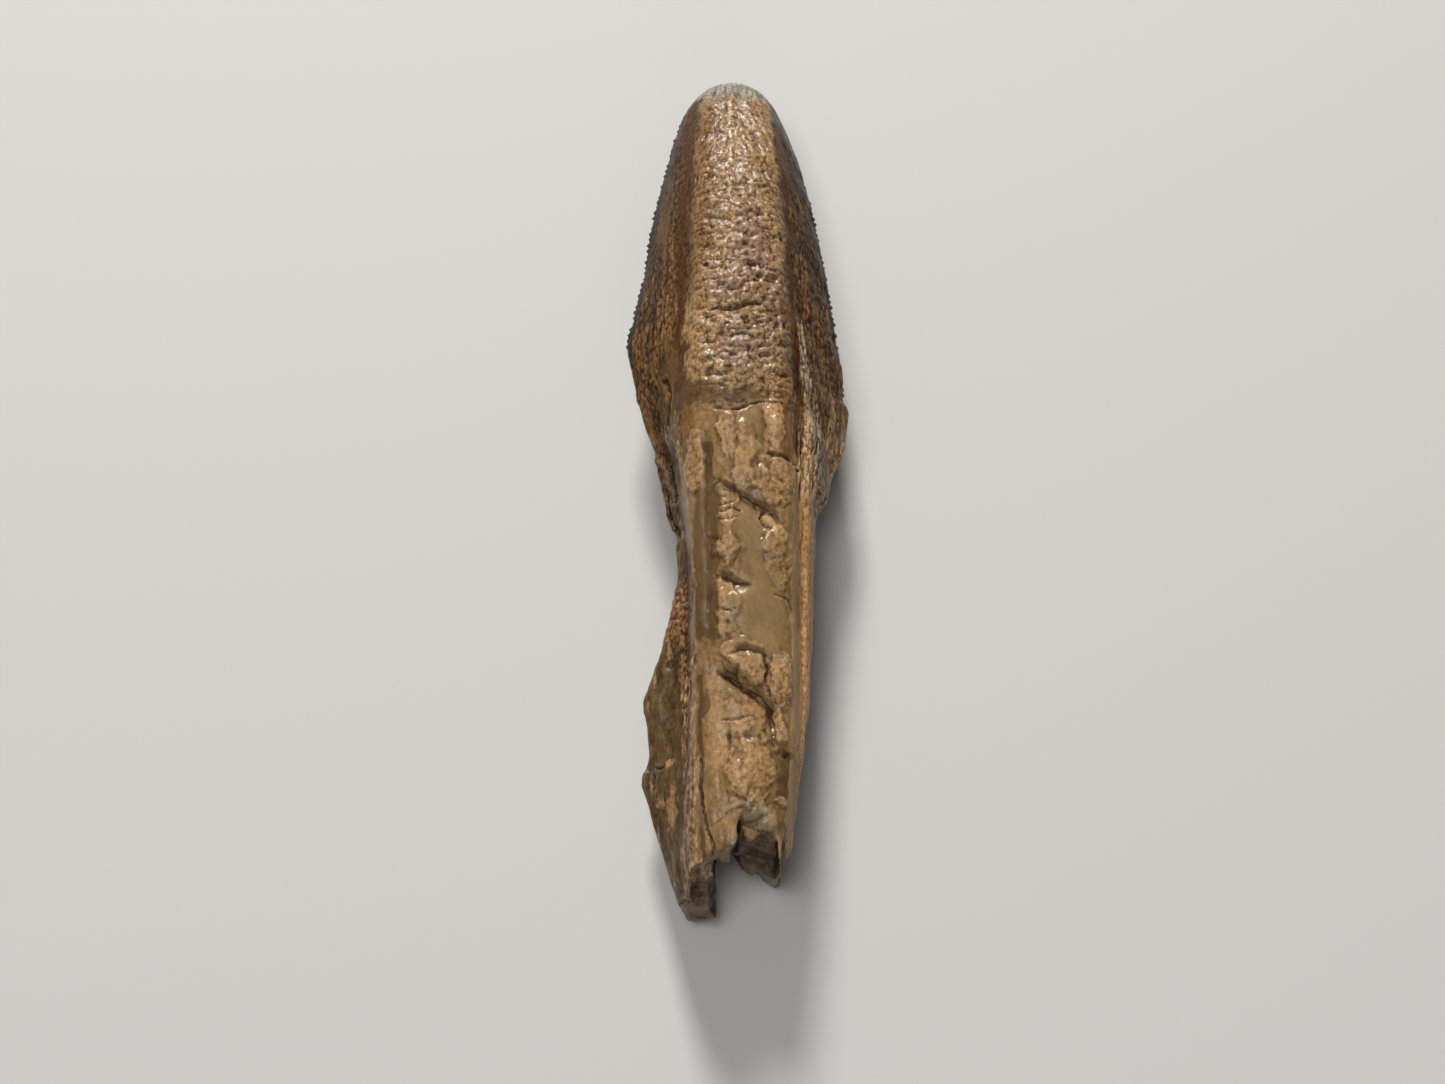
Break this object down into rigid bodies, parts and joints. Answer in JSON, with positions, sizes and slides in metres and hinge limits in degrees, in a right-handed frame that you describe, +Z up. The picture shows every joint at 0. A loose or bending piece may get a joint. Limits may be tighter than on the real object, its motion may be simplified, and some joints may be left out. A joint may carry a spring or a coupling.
{
  "type": "fossil dinosaur tooth",
  "caption": "Leaf-shaped fossil dinosaur tooth crown with a broad raised ridge, on a long grooved root whose broken end opens between two prongs.",
  "frame": {"origin": "centre of the tooth's box in plan, on the surface that it lies on", "axes": "+Y from the broken root to the tip of the crown, +Z up out of the rough inner face, +X to the right looking down on that face with the tip away"},
  "size_m": [0.0204, 0.0806, 0.0155],
  "materials": {
    "fossil": "polished mineral brown, rough on the ridge and smooth on the root"
  },
  "bodies": {
    "root": {"tooth": "fossil"}
  },
  "joints": []
}
